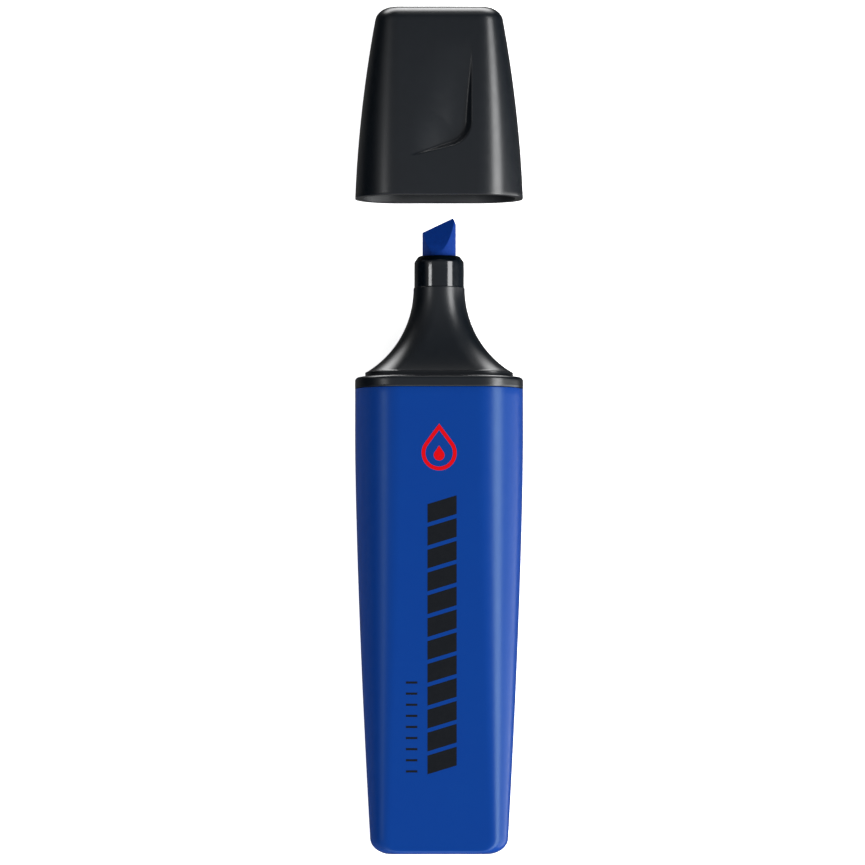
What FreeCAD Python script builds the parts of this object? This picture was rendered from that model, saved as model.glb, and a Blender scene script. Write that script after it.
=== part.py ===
import FreeCAD, Part

import math
import os

import Sketcher
from FreeCAD import Placement, Rotation, Vector

# A flat highlighter with a push-on cap. Every piece is drawn standing, in millimetres:
# X is the width, -Y is the printed face and Z runs from the closed barrel end to the cap.
# The pieces are then laid down on their back, so that in the part's own frame +Z is the
# printed face, +Y points to the nib and the cap, and the part rests on the plane Z = 0.
# The cap stands off the pen by the travel of its joint.

DIMENSIONS = [
    ("body_width", 26.5, "width at the seam, over the band and over the cap's mouth"),
    ("body_depth", 16.5, "thickness between the two flat faces"),
    ("body_corner", 7.2, "radius of the long edges"),
    ("barrel_length", 73.16, "closed end to seam"),
    ("barrel_straight", 8.0, "straight stretch below the seam"),
    ("barrel_taper", 0.0049, "narrowing of each side, times the run to the power 1.5"),
    ("barrel_corner_share", 1.75, "how fast the corner radius shrinks as a side narrows"),
    ("end_side_rise", 2.4, "rounding of the closed end at the sides, along the pen"),
    ("end_side_inset", 3.0, "rounding of the closed end at the sides, across the pen"),
    ("end_face_round", 0.6, "rounding of the closed end at the broad faces"),
    ("barrel_wall", 1.2, "wall of the barrel"),
    ("floor_rib_height", 1.2, "ribs that the reservoir stands on"),
    ("floor_rib_width", 1.0, "thickness of those ribs"),
    ("floor_rib_length", 8.0, "length of those ribs"),
    ("floor_rib_spacing", 10.0, "from one rib to the other"),
    ("band_height", 1.83, "band between seam and shoulder"),
    ("band_round", 0.6, "rounded edge of the shoulder"),
    ("plinth_width", 23.3, "plinth that centres the cap"),
    ("plinth_depth", 13.3, "plinth that centres the cap"),
    ("plinth_corner", 5.6, "corner radius of the plinth"),
    ("plinth_height", 0.8, "shoulder to the foot of the cone"),
    ("cone_height", 13.33, "foot of the cone to the neck"),
    ("cone_radius", 15.5, "hollow curve of the cone, seen from the front"),
    ("cone_foot_depth", 12.9, "thickness of the cone at its foot"),
    ("cone_foot_corner", 5.4, "corner radius of the cone at its foot"),
    ("neck_radius", 4.05, "top of the cone"),
    ("land_radius", 3.92, "round land that the cap seals on"),
    ("land_height", 5.08, "neck to rim"),
    ("rim_chamfer", 0.7, "chamfer of the rim"),
    ("spigot_length", 7.0, "part of the section inside the barrel"),
    ("spigot_gap", 0.1, "gap between spigot and barrel"),
    ("section_wall", 1.3, "wall of spigot and band"),
    ("ink_room_radius", 6.4, "round room under the cone"),
    ("ink_room_neck", 3.2, "top of that room"),
    ("nib_radius", 2.65, "felt rod"),
    ("nib_reach", 6.0, "rim to the point of the nib"),
    ("nib_length", 42.0, "whole felt rod"),
    ("nib_slant", 24.4, "slope of the writing edge in degrees"),
    ("nib_edge", 1.8, "thickness of the writing edge"),
    ("nib_flat_angle", 23.5, "slope of each flat in degrees"),
    ("reservoir_width", 18.0, "fibre reservoir"),
    ("reservoir_depth", 12.6, "fibre reservoir"),
    ("reservoir_corner", 5.4, "corner radius of the reservoir"),
    ("reservoir_length", 63.5, "fibre reservoir"),
    ("film_wall", 0.15, "film round the reservoir"),
    ("cap_height", 30.05, "mouth to top"),
    ("cap_travel", 28.26, "how far the cap stands off from its closed place"),
    ("cap_seat_gap", 0.1, "left between mouth and shoulder when closed"),
    ("cap_side_lean", 0.0407, "slope of the narrow sides at the mouth"),
    ("cap_side_radius", 195.0, "curve of the narrow sides"),
    ("cap_face_lean", 0.03, "slope of the broad faces at the mouth"),
    ("cap_face_radius", 428.0, "curve of the broad faces"),
    ("cap_corner_loss", 0.055, "how fast the corner radius shrinks at the mouth"),
    ("cap_corner_curve", 0.0024, "how much faster it shrinks towards the top"),
    ("cap_top_round", 1.9, "rounding of the top"),
    ("cap_wall", 1.25, "wall of the cap"),
    ("socket_radius", 5.7, "ring under the roof that holds the inner cap"),
    ("socket_height", 4.0, "depth of that ring"),
    ("seal_outer", 4.85, "inner cap, outside radius"),
    ("seal_bore", 3.97, "inner cap, running fit on the land"),
    ("seal_roof", 1.0, "closed end of the inner cap"),
    ("seal_stop", 14.2, "mouth of the cap to the foot of the inner cap"),
    ("seal_lead", 0.4, "lead-in of the inner cap"),
    ("scoop_side", 5.17, "upright edge of the thumb scoop"),
    ("scoop_tip_side", -4.81, "outer end of its low edge"),
    ("scoop_tip_height", 6.0, "outer end of its low edge, above the mouth"),
    ("scoop_foot_height", 8.0, "low edge at the upright edge, above the mouth"),
    ("scoop_round", 3.4, "corner between low edge and upright edge"),
    ("scoop_top", 24.0, "upper end of the scoop, above the mouth"),
    ("scoop_depth", 0.75, "depth at the corner, square to the broad face"),
]

doc = FreeCAD.newDocument("highlighter")
sheet = doc.addObject("Spreadsheet::Sheet", "Dims")
for row, (alias, number, meaning) in enumerate(DIMENSIONS, start=1):
    sheet.set(f"A{row}", alias)
    sheet.set(f"B{row}", str(number))
    sheet.set(f"C{row}", meaning)
    sheet.setAlias(f"B{row}", alias)
doc.recompute()

# Heights along the standing pen.
SEAM = "Dims.barrel_length"
SHOULDER = f"{SEAM} + Dims.band_height"
CONE_FOOT = f"{SHOULDER} + Dims.plinth_height"
NECK = f"{CONE_FOOT} + Dims.cone_height"
RIM = f"{NECK} + Dims.land_height"
POINT = f"{RIM} + Dims.nib_reach"
NIB_FOOT = f"{POINT} - Dims.nib_length"
RESERVOIR_FOOT = "Dims.barrel_wall + Dims.floor_rib_height"
MOUTH = f"{SHOULDER} + Dims.cap_seat_gap + Dims.cap_travel"
CAP_TOP = f"{MOUTH} + Dims.cap_height"

# How far stacked features of one moulding reach into each other.
MERGE = 0.05


def dimension(name):
    return float(getattr(sheet, name))


def start_body(name):
    """A sub-part, laid down on its back in the part's own frame."""
    body = doc.addObject("PartDesign::Body", name)
    body.Label = name
    body.Placement = Placement(Vector(), Rotation(Vector(1, 0, 0), -90))
    body.setExpression("Placement.Base.y", f"-({CAP_TOP}) / 2")
    body.setExpression("Placement.Base.z", "Dims.body_depth / 2")
    return body


def start_sketch(body, name, plane, height=None, side="z"):
    """A sketch on one of the body's own planes, moved along that plane's normal."""
    sketch = body.newObject("Sketcher::SketchObject", name)
    planes = body.Origin.OriginFeatures
    support = next(feature for feature in planes if feature.Role == plane)
    sketch.AttachmentSupport = [(support, "")]
    sketch.MapMode = "FlatFace"
    if height is not None:
        sketch.setExpression(f"AttachmentOffset.Base.{side}", height)
    return sketch


def bind(sketch, constraint, name, formula):
    """Add a dimension to a sketch and tie it to the sheet."""
    index = sketch.addConstraint(constraint)
    sketch.renameConstraint(index, name)
    sketch.setExpression(f"Constraints.{name}", formula)


def slab_sketch(body, name, height, width, depth, corner):
    """A rectangle with round corners, centred on the pen's axis, at a height along it."""
    sketch = start_sketch(body, name, "XY_Plane", height)
    half_width, half_depth, radius = 9.0, 6.5, 2.0
    flat_x, flat_y = half_width - radius, half_depth - radius
    corners = [(flat_x, -flat_y), (flat_x, flat_y), (-flat_x, flat_y), (-flat_x, -flat_y)]
    lines = [
        ((-flat_x, -half_depth), (flat_x, -half_depth)),
        ((half_width, -flat_y), (half_width, flat_y)),
        ((flat_x, half_depth), (-flat_x, half_depth)),
        ((-half_width, flat_y), (-half_width, -flat_y)),
    ]
    for quarter, (start, end) in enumerate(lines):
        sketch.addGeometry(Part.LineSegment(Vector(*start, 0), Vector(*end, 0)), False)
        circle = Part.Circle(Vector(*corners[quarter], 0), Vector(0, 0, 1), radius)
        turn = (quarter - 1) * math.pi / 2
        sketch.addGeometry(Part.ArcOfCircle(circle, turn, turn + math.pi / 2), False)
    for quarter in range(4):
        line, arc, following = 2 * quarter, 2 * quarter + 1, (2 * quarter + 2) % 8
        sketch.addConstraint(Sketcher.Constraint("Tangent", line, 2, arc, 1))
        sketch.addConstraint(Sketcher.Constraint("Tangent", arc, 2, following, 1))
    for line, direction in ((0, "Horizontal"), (2, "Vertical"), (4, "Horizontal"), (6, "Vertical")):
        sketch.addConstraint(Sketcher.Constraint(direction, line))
    for arc in (3, 5, 7):
        sketch.addConstraint(Sketcher.Constraint("Equal", 1, arc))
    sketch.addConstraint(Sketcher.Constraint("Symmetric", 1, 3, 5, 3, -1, 1))
    bind(sketch, Sketcher.Constraint("Radius", 1, radius), "corner", corner)
    bind(sketch, Sketcher.Constraint("DistanceX", 6, 1, 2, 1, 2 * half_width), "width", width)
    bind(sketch, Sketcher.Constraint("DistanceY", 0, 1, 4, 1, 2 * half_depth), "depth", depth)
    return sketch


def circle_sketch(body, name, height, radius):
    """A circle round the pen's axis, at a height along it."""
    sketch = start_sketch(body, name, "XY_Plane", height)
    sketch.addGeometry(Part.Circle(Vector(), Vector(0, 0, 1), 4.0), False)
    sketch.addConstraint(Sketcher.Constraint("Coincident", 0, 3, -1, 1))
    bind(sketch, Sketcher.Constraint("Radius", 0, 4.0), "radius", radius)
    return sketch


def extrude(body, kind, name, sketch, length, reverse=False):
    """A Pad or a Pocket of a stated length."""
    feature = body.newObject(f"PartDesign::{kind}", name)
    feature.Profile = sketch
    feature.Reversed = reverse
    feature.setExpression("Length", length)
    doc.recompute()
    return feature


def loft(body, kind, name, sketches):
    """A smooth skin through sections given in order along the pen."""
    feature = body.newObject(f"PartDesign::{kind}", name)
    feature.Profile = sketches[0]
    feature.Sections = sketches[1:]
    doc.recompute()
    return feature


def edges_where(feature, test):
    """Names of the feature's edges whose every sample point passes the test."""
    found = []
    for index, edge in enumerate(feature.Shape.Edges, start=1):
        if all(test(point) for point in edge.discretize(5)):
            found.append(f"Edge{index}")
    return found


def dress(body, kind, name, base, edges, size_property, size):
    """A Fillet or a Chamfer on named edges of the last feature."""
    feature = body.newObject(f"PartDesign::{kind}", name)
    feature.Base = (base, edges)
    feature.setExpression(size_property, size)
    doc.recompute()
    return feature


def near(a, b):
    return abs(a - b) < 1e-3


# Barrel ---------------------------------------------------------------------------------

def barrel_section(body, name, rise, inset, side="0", face="0"):
    """Section of the barrel at a rise above its closed end; its corners tighten as it narrows."""
    run = f"(Dims.barrel_length - Dims.barrel_straight - ({rise}))"
    loss = f"(Dims.barrel_taper * {run} ^ 1.5)"
    width = f"Dims.body_width - 2 * ({loss} + {inset} + {side})"
    depth = f"Dims.body_depth - 2 * ({inset} + {face})"
    corner = f"Dims.body_corner - Dims.barrel_corner_share * {loss} - {inset}"
    return slab_sketch(body, name, rise, width, depth, corner)


def barrel_walls(body, label, foot, inset):
    """Sections from a foot rise up to the straight stretch below the seam."""
    top = "Dims.barrel_length - Dims.barrel_straight"
    return [
        barrel_section(body, f"{label}{step}", f"{foot} + ({top} - {foot}) * {share:.2f}", inset)
        for step, share in enumerate((0.0, 0.25, 0.5, 0.75, 1.0))
    ]


def drawn_in(share):
    """How much of a quarter-round's inset is left at a share of its rise."""
    return 1 - math.sqrt(1 - (1 - share) ** 2)


def end_rounding(body, label, rises):
    """Sections through the closed end: wide rounding at the sides, a small one at the faces."""
    sketches = []
    for step, rise in enumerate(rises):
        side = drawn_in(rise / dimension("end_side_rise"))
        face = drawn_in(min(1.0, rise / dimension("end_face_round")))
        sketches.append(barrel_section(
            body, f"{label}{step}", f"{rise:.3f}", "0",
            f"Dims.end_side_inset * {side:.4f}", f"Dims.end_face_round * {face:.4f}",
        ))
    return sketches


def floor_ribs(body):
    """Two ribs across the barrel's floor, one each side of the axis."""
    ribs = start_sketch(body, "FloorRibs", "XY_Plane", f"Dims.barrel_wall - {MERGE}")
    thick, long = dimension("floor_rib_width"), dimension("floor_rib_length")
    offset = dimension("floor_rib_spacing") / 2
    for index, centre in enumerate((-offset, offset)):
        first = 4 * index
        left, right = centre - thick / 2, centre + thick / 2
        corners = [
            Vector(left, -long / 2, 0), Vector(right, -long / 2, 0),
            Vector(right, long / 2, 0), Vector(left, long / 2, 0),
        ]
        for side in range(4):
            ribs.addGeometry(Part.LineSegment(corners[side], corners[(side + 1) % 4]), False)
        for side in range(4):
            following = first + (side + 1) % 4
            ribs.addConstraint(Sketcher.Constraint("Coincident", first + side, 2, following, 1))
        for side, direction in ((0, "Horizontal"), (2, "Horizontal"), (3, "Vertical")):
            ribs.addConstraint(Sketcher.Constraint(direction, first + side))
        ribs.addConstraint(Sketcher.Constraint("Symmetric", first + 1, 1, first + 1, 2, -1))
        width = Sketcher.Constraint("DistanceX", first, 1, first, 2, thick)
        bind(ribs, width, f"width_{index}", "Dims.floor_rib_width")
        length = Sketcher.Constraint("DistanceY", first + 1, 1, first + 1, 2, long)
        bind(ribs, length, f"length_{index}", "Dims.floor_rib_length")
    outer = Sketcher.Constraint("DistanceX", -1, 1, 4, 1, offset - thick / 2)
    bind(ribs, outer, "right_rib", "(Dims.floor_rib_spacing - Dims.floor_rib_width) / 2")
    inner = Sketcher.Constraint("DistanceX", 0, 2, -1, 1, offset - thick / 2)
    bind(ribs, inner, "left_rib", "(Dims.floor_rib_spacing - Dims.floor_rib_width) / 2")
    return ribs


def make_barrel():
    body = start_body("barrel")
    face, side = dimension("end_face_round"), dimension("end_side_rise")
    low = end_rounding(body, "EndLow", [face * share for share in (0.0, 0.08, 0.3, 0.6, 1.0)])
    loft(body, "AdditiveLoft", "EndEdge", low)
    span = side - face
    high = end_rounding(body, "EndHigh", [face + span * share for share in (0.0, 0.25, 0.6, 1.0)])
    loft(body, "AdditiveLoft", "EndCorners", high)
    walls = barrel_walls(body, "Outer", "Dims.end_side_rise", "0")
    loft(body, "AdditiveLoft", "Walls", walls)
    straight_foot = "Dims.barrel_length - Dims.barrel_straight"
    collar = barrel_section(body, "Collar", straight_foot, "0")
    extrude(body, "Pad", "Straight", collar, "Dims.barrel_straight")
    hollow = barrel_walls(body, "Inner", "Dims.barrel_wall", "Dims.barrel_wall")
    loft(body, "SubtractiveLoft", "Hollow", hollow)
    throat = barrel_section(body, "Throat", straight_foot, "Dims.barrel_wall")
    extrude(body, "Pocket", "Mouth", throat, "Dims.barrel_straight", reverse=True)
    ribs = floor_ribs(body)
    extrude(body, "Pad", "Ribs", ribs, f"Dims.floor_rib_height + {MERGE}")
    return body


# Front section --------------------------------------------------------------------------

def cone_sections(body):
    """Slab sections from the foot of the cone up to the nearly round neck."""
    sketches = []
    for step, share in enumerate((0.0, 0.1, 0.22, 0.38, 0.6, 1.0)):
        drop = f"(Dims.cone_height * {1 - share:.2f})"
        flare = f"(Dims.cone_radius - sqrt(Dims.cone_radius ^ 2 - {drop} ^ 2))"
        full = "(Dims.cone_radius - sqrt(Dims.cone_radius ^ 2 - Dims.cone_height ^ 2))"
        part = f"({flare} / {full})"
        width = f"2 * (Dims.neck_radius + {flare})"
        depth = f"2 * Dims.neck_radius + (Dims.cone_foot_depth - 2 * Dims.neck_radius) * {part}"
        neck_corner = "(Dims.neck_radius - 0.1)"
        corner = f"{neck_corner} + (Dims.cone_foot_corner - {neck_corner}) * {part}"
        height = f"{CONE_FOOT} + Dims.cone_height * {share:.2f}"
        sketches.append(slab_sketch(body, f"Cone{step}", height, width, depth, corner))
    return sketches


def make_front_section():
    body = start_body("front_section")
    inside = "- 2 * (Dims.barrel_wall + Dims.spigot_gap)"
    spigot = slab_sketch(
        body, "SpigotOutline", f"{SEAM} - Dims.spigot_length", f"Dims.body_width {inside}",
        f"Dims.body_depth {inside}", f"Dims.body_corner {inside} / 2",
    )
    extrude(body, "Pad", "Spigot", spigot, f"Dims.spigot_length + {MERGE}")
    band = slab_sketch(
        body, "BandOutline", SEAM, "Dims.body_width", "Dims.body_depth", "Dims.body_corner"
    )
    band_pad = extrude(body, "Pad", "Band", band, "Dims.band_height")
    shoulder = dimension("barrel_length") + dimension("band_height")
    half_width, half_depth = dimension("body_width") / 2, dimension("body_depth") / 2

    def shoulder_edge(point):
        outer = abs(point.x) > half_width - 3 or abs(point.y) > half_depth - 3
        return near(point.z, shoulder) and outer

    rounded = dress(
        body, "Fillet", "BandEdge", band_pad, edges_where(band_pad, shoulder_edge),
        "Radius", "Dims.band_round",
    )
    plinth = slab_sketch(
        body, "PlinthOutline", SHOULDER, "Dims.plinth_width", "Dims.plinth_depth",
        "Dims.plinth_corner",
    )
    extrude(body, "Pad", "Plinth", plinth, "Dims.plinth_height")
    loft(body, "AdditiveLoft", "Cone", cone_sections(body))
    land = circle_sketch(body, "LandOutline", f"{NECK} - {MERGE}", "Dims.land_radius")
    land_pad = extrude(body, "Pad", "Land", land, f"Dims.land_height + {MERGE}")
    rim = dimension("barrel_length") + dimension("band_height") + dimension("plinth_height")
    rim += dimension("cone_height") + dimension("land_height")
    rim_edges = edges_where(land_pad, lambda point: near(point.z, rim))
    dress(body, "Chamfer", "RimEdge", land_pad, rim_edges, "Size", "Dims.rim_chamfer")
    room = "- 2 * (Dims.barrel_wall + Dims.spigot_gap + Dims.section_wall)"
    ink_room = slab_sketch(
        body, "InkRoomOutline", f"{SEAM} - Dims.spigot_length", f"Dims.body_width {room}",
        f"Dims.body_depth {room}", f"Dims.body_corner {room} / 2",
    )
    extrude(body, "Pocket", "InkRoom", ink_room, "Dims.spigot_length + 0.3", reverse=True)
    flue_foot = circle_sketch(body, "FlueFoot", SEAM, "Dims.ink_room_radius - 0.9")
    flue_top = circle_sketch(
        body, "FlueTop", f"{CONE_FOOT} + Dims.cone_height / 2", "Dims.ink_room_neck"
    )
    loft(body, "SubtractiveLoft", "Flue", [flue_foot, flue_top])
    bore = circle_sketch(body, "NibBore", f"{CONE_FOOT}", "Dims.nib_radius")
    extrude(body, "Pocket", "Bore", bore, "Dims.cone_height + Dims.land_height + 1", reverse=True)
    return body


# Nib and reservoir ----------------------------------------------------------------------

def shave(body, name, plane, offset, outline_radius=12.0):
    """Take away whatever lies in front of a tilted plane; offset places that plane."""
    sketch = start_sketch(body, f"{name}Plane", plane)
    sketch.AttachmentOffset = offset
    sketch.addGeometry(Part.Circle(Vector(), Vector(0, 0, 1), outline_radius), False)
    sketch.addConstraint(Sketcher.Constraint("Coincident", 0, 3, -1, 1))
    sketch.addConstraint(Sketcher.Constraint("Radius", 0, outline_radius))
    pocket = body.newObject("PartDesign::Pocket", name)
    pocket.Profile = sketch
    pocket.Reversed = True
    pocket.Length = outline_radius
    return sketch


def make_nib():
    """Felt rod cut off obliquely, with two flats that slope up to the oblique end."""
    body = start_body("nib")
    rod = circle_sketch(body, "RodOutline", NIB_FOOT, "Dims.nib_radius")
    extrude(body, "Pad", "Rod", rod, "Dims.nib_length")
    edge_middle = f"{POINT} - Dims.nib_radius * tan(Dims.nib_slant * 1deg)"
    slant, slope = dimension("nib_slant"), dimension("nib_flat_angle")
    oblique = Placement(Vector(), Rotation(Vector(0, 1, 0), -slant))
    end = shave(body, "ObliqueEnd", "XY_Plane", oblique)
    end.setExpression("AttachmentOffset.Base.z", edge_middle)
    turn = Rotation(Vector(0, 0, 1), slant)
    front = Placement(Vector(), turn * Rotation(Vector(1, 0, 0), -slope))
    back = Placement(Vector(), turn * Rotation(Vector(1, 0, 0), 180 + slope))
    for name, offset, side in (("FrontFlat", front, ""), ("BackFlat", back, "-")):
        flat = shave(body, name, "XZ_Plane", offset)
        flat.setExpression("AttachmentOffset.Base.y", edge_middle)
        flat.setExpression("AttachmentOffset.Base.z", f"{side}Dims.nib_edge / 2")
    doc.recompute()
    return body


def make_reservoir():
    core = start_body("reservoir_core")
    outline = slab_sketch(
        core, "Outline", RESERVOIR_FOOT, "Dims.reservoir_width", "Dims.reservoir_depth",
        "Dims.reservoir_corner",
    )
    extrude(core, "Pad", "Fibre", outline, "Dims.reservoir_length")
    socket = circle_sketch(core, "NibSocket", NIB_FOOT, "Dims.nib_radius")
    extrude(core, "Pocket", "Socket", socket, "Dims.nib_length", reverse=True)
    film = start_body("reservoir_film")
    grown = "+ 2 * Dims.film_wall"
    skin = slab_sketch(
        film, "Outline", RESERVOIR_FOOT, f"Dims.reservoir_width {grown}",
        f"Dims.reservoir_depth {grown}", "Dims.reservoir_corner + Dims.film_wall",
    )
    extrude(film, "Pad", "Skin", skin, "Dims.reservoir_length")
    inside = slab_sketch(
        film, "Inside", RESERVOIR_FOOT, "Dims.reservoir_width", "Dims.reservoir_depth",
        "Dims.reservoir_corner",
    )
    extrude(film, "Pocket", "Hollow", inside, "Dims.reservoir_length", reverse=True)
    return core, film


# Cap ------------------------------------------------------------------------------------

def cap_section(body, name, rise, inset):
    """Section of the cap at a rise above its mouth, pulled in all round by an inset."""
    side = f"(Dims.cap_side_lean * ({rise}) + ({rise}) ^ 2 / (2 * Dims.cap_side_radius))"
    face = f"(Dims.cap_face_lean * ({rise}) + ({rise}) ^ 2 / (2 * Dims.cap_face_radius))"
    width = f"Dims.body_width - 2 * ({side} + {inset})"
    depth = f"Dims.body_depth - 2 * ({face} + {inset})"
    loss = f"(Dims.cap_corner_loss * ({rise}) + Dims.cap_corner_curve * ({rise}) ^ 2)"
    corner = f"Dims.body_corner - {loss} - {inset}"
    return slab_sketch(body, name, f"{MOUTH} + {rise}", width, depth, corner)


def cap_walls(body, label, top, inset, foot=0.0):
    """Sections from the mouth up to where the top starts to round over."""
    shares = (foot, 0.25, 0.5, 0.75, 1.0)
    return [
        cap_section(body, f"{label}{step}", f"({top}) * {share:.2f}", inset)
        for step, share in enumerate(shares)
    ]


def cap_top(body):
    """Sections that round the walls over into the flat top."""
    sketches = []
    for step, turn in enumerate((0, 25, 50, 72, 86)):
        turned = math.radians(turn)
        rise = f"Dims.cap_height - Dims.cap_top_round * {1 - math.sin(turned):.4f}"
        inset = f"Dims.cap_top_round * {1 - math.cos(turned):.4f}"
        sketches.append(cap_section(body, f"Top{step}", rise, f"({inset})"))
    return sketches


def scoop_pocket(body, name, turned):
    """Thumb scoop: a facet that dips into a broad face, bounded by a low and an upright edge."""
    side, tip = dimension("scoop_side"), dimension("scoop_tip_side")
    low, foot = dimension("scoop_tip_height"), dimension("scoop_foot_height")
    top, radius = dimension("scoop_top"), dimension("scoop_round")
    slope = math.atan2(foot - low, side - tip)
    # The facet dips at right angles to the line from the low edge's tip to the scoop's top.
    line = math.atan2(top - low, side - tip)
    reach = (side - tip) * math.sin(line) - (foot - low) * math.cos(line)
    dip = math.degrees(math.atan2(dimension("scoop_depth"), reach))
    lean = dimension("cap_face_lean") + (low + top) / 2 / dimension("cap_face_radius")
    along = Vector(math.cos(line), math.sin(line), 0)
    level = dimension("body_depth") / 2 - low * lean
    tilt = Rotation(Vector(1, 0, 0), -math.degrees(lean)) * Rotation(along, dip)
    origin = Vector(tip, low, level)
    if turned:
        half_turn = Rotation(Vector(0, 1, 0), 180)
        tilt, origin = half_turn * tilt, half_turn.multVec(origin)
    sketch = start_sketch(body, f"{name}Outline", "XZ_Plane")
    sketch.AttachmentOffset = Placement(origin, tilt)
    sketch.setExpression("AttachmentOffset.Base.y", f"{MOUTH} + Dims.scoop_tip_height")
    width, height = side - tip, top - low
    corner = Vector(width, foot - low, 0)
    along_low = Vector(-math.cos(slope), -math.sin(slope), 0)
    opening = math.pi / 2 + slope
    back_off = radius / math.tan(opening / 2)
    start, end = corner + along_low * back_off, corner + Vector(0, back_off, 0)
    centre = Vector(width - radius, end.y, 0)
    low_edge = Part.LineSegment(Vector(0, 0, 0), start)
    bend = Part.ArcOfCircle(Part.Circle(centre, Vector(0, 0, 1), radius), slope - math.pi / 2, 0)
    upright = Part.LineSegment(end, Vector(width, height, 0))
    for edge in (low_edge, bend, upright, Part.LineSegment(Vector(width, height, 0), Vector())):
        sketch.addGeometry(edge, False)
    sketch.addConstraint(Sketcher.Constraint("Tangent", 0, 2, 1, 1))
    sketch.addConstraint(Sketcher.Constraint("Tangent", 1, 2, 2, 1))
    sketch.addConstraint(Sketcher.Constraint("Coincident", 2, 2, 3, 1))
    sketch.addConstraint(Sketcher.Constraint("Coincident", 3, 2, 0, 1))
    sketch.addConstraint(Sketcher.Constraint("Coincident", 0, 1, -1, 1))
    sketch.addConstraint(Sketcher.Constraint("Vertical", 2))
    bind(sketch, Sketcher.Constraint("Radius", 1, radius), "corner", "Dims.scoop_round")
    wide = Sketcher.Constraint("DistanceX", -1, 1, 2, 2, width)
    bind(sketch, wide, "width", "Dims.scoop_side - Dims.scoop_tip_side")
    tall = Sketcher.Constraint("DistanceY", -1, 1, 2, 2, height)
    bind(sketch, tall, "height", "Dims.scoop_top - Dims.scoop_tip_height")
    sketch.addConstraint(Sketcher.Constraint("DistanceY", -1, 1, 0, 2, start.y))
    pocket = body.newObject("PartDesign::Pocket", name)
    pocket.Profile = sketch
    pocket.Reversed = True
    pocket.Length = 4
    doc.recompute()
    return pocket


def make_cap_shell():
    body = start_body("cap_shell")
    walls = cap_walls(body, "Outer", "Dims.cap_height - Dims.cap_top_round", "0")
    loft(body, "AdditiveLoft", "Walls", walls)
    loft(body, "AdditiveLoft", "RoundTop", cap_top(body))
    roof = "Dims.cap_height - Dims.cap_wall"
    loft(
        body, "SubtractiveLoft", "Hollow",
        cap_walls(body, "Inner", roof, "Dims.cap_wall", foot=-0.02),
    )
    socket_foot = f"{CAP_TOP} - Dims.cap_wall - Dims.socket_height"
    ring = circle_sketch(body, "SocketOutline", socket_foot, "Dims.socket_radius")
    extrude(body, "Pad", "Socket", ring, f"Dims.socket_height + {MERGE}")
    hole = circle_sketch(body, "SocketBore", socket_foot, "Dims.seal_outer")
    extrude(body, "Pocket", "Bore", hole, "Dims.socket_height", reverse=True)
    scoop_pocket(body, "FrontScoop", turned=False)
    scoop_pocket(body, "BackScoop", turned=True)
    return body


def mouth_height():
    names = ("barrel_length", "band_height", "cap_seat_gap", "cap_travel")
    return sum(dimension(name) for name in names)


def make_cap_seal():
    """Round inner cap, closed at the top, that runs on the land of the front section."""
    body = start_body("cap_seal")
    foot = f"{MOUTH} + Dims.seal_stop"
    length = "Dims.cap_height - Dims.cap_wall - Dims.seal_stop"
    wall = circle_sketch(body, "WallOutline", foot, "Dims.seal_outer")
    extrude(body, "Pad", "Wall", wall, length)
    bore = circle_sketch(body, "BoreOutline", foot, "Dims.seal_bore")
    bored = extrude(body, "Pocket", "Bore", bore, f"{length} - Dims.seal_roof", reverse=True)
    level = mouth_height() + dimension("seal_stop")
    inner = dimension("seal_bore") + 0.1

    def mouth_edge(point):
        return near(point.z, level) and math.hypot(point.x, point.y) < inner

    lead_in = edges_where(bored, mouth_edge)
    dress(body, "Chamfer", "LeadIn", bored, lead_in, "Size", "Dims.seal_lead")
    return body


bodies = [make_barrel(), make_front_section(), make_nib()]
bodies += make_reservoir()
bodies += [make_cap_shell(), make_cap_seal()]
doc.recompute()

for item in doc.Objects:
    if "Invalid" in item.State or "Error" in item.State:
        raise RuntimeError(f"{item.Name} did not compute: {item.State}")
os.makedirs("parts", exist_ok=True)
for body in bodies:
    shape = body.Shape
    if shape.isNull() or not shape.isValid() or len(shape.Solids) != 1:
        raise RuntimeError(f"{body.Label} is not one valid solid")
    shape.exportStep(f"parts/{body.Label}.step")
    size = shape.BoundBox
    sides = f"{size.XLength:.2f} x {size.YLength:.2f} x {size.ZLength:.2f}"
    print(f"{body.Label}: {shape.Volume:.1f} mm3, {sides}")
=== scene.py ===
import math

import bmesh
import bpy
from mathutils import Matrix, Vector


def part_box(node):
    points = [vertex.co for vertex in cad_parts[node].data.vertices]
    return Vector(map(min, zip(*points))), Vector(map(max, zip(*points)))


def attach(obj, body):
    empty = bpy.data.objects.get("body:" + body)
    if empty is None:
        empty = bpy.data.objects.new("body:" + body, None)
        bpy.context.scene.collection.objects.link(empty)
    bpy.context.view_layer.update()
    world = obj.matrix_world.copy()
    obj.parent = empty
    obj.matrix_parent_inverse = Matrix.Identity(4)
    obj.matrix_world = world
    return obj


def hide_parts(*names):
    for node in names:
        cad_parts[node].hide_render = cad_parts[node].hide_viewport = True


# A flat highlighter lying on its back: +Y runs to the nib and the pulled-off cap, +Z is the
# printed face. Shapes are worked out in millimetres from the frame's boxes and put into the
# meshes in metres.

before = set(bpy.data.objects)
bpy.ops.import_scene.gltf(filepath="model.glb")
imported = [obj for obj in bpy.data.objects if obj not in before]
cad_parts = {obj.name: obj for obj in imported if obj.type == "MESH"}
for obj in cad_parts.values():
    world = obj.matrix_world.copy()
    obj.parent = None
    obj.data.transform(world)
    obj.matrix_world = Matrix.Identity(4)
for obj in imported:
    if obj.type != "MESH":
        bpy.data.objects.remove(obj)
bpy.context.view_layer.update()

MM = 0.001

barrel_low, barrel_high = [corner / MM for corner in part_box("barrel")]
section_low, section_high = [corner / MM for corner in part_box("front_section")]
nib_low, nib_high = [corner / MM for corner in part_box("nib")]
cap_low, cap_high = [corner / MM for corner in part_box("cap_shell")]

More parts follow.
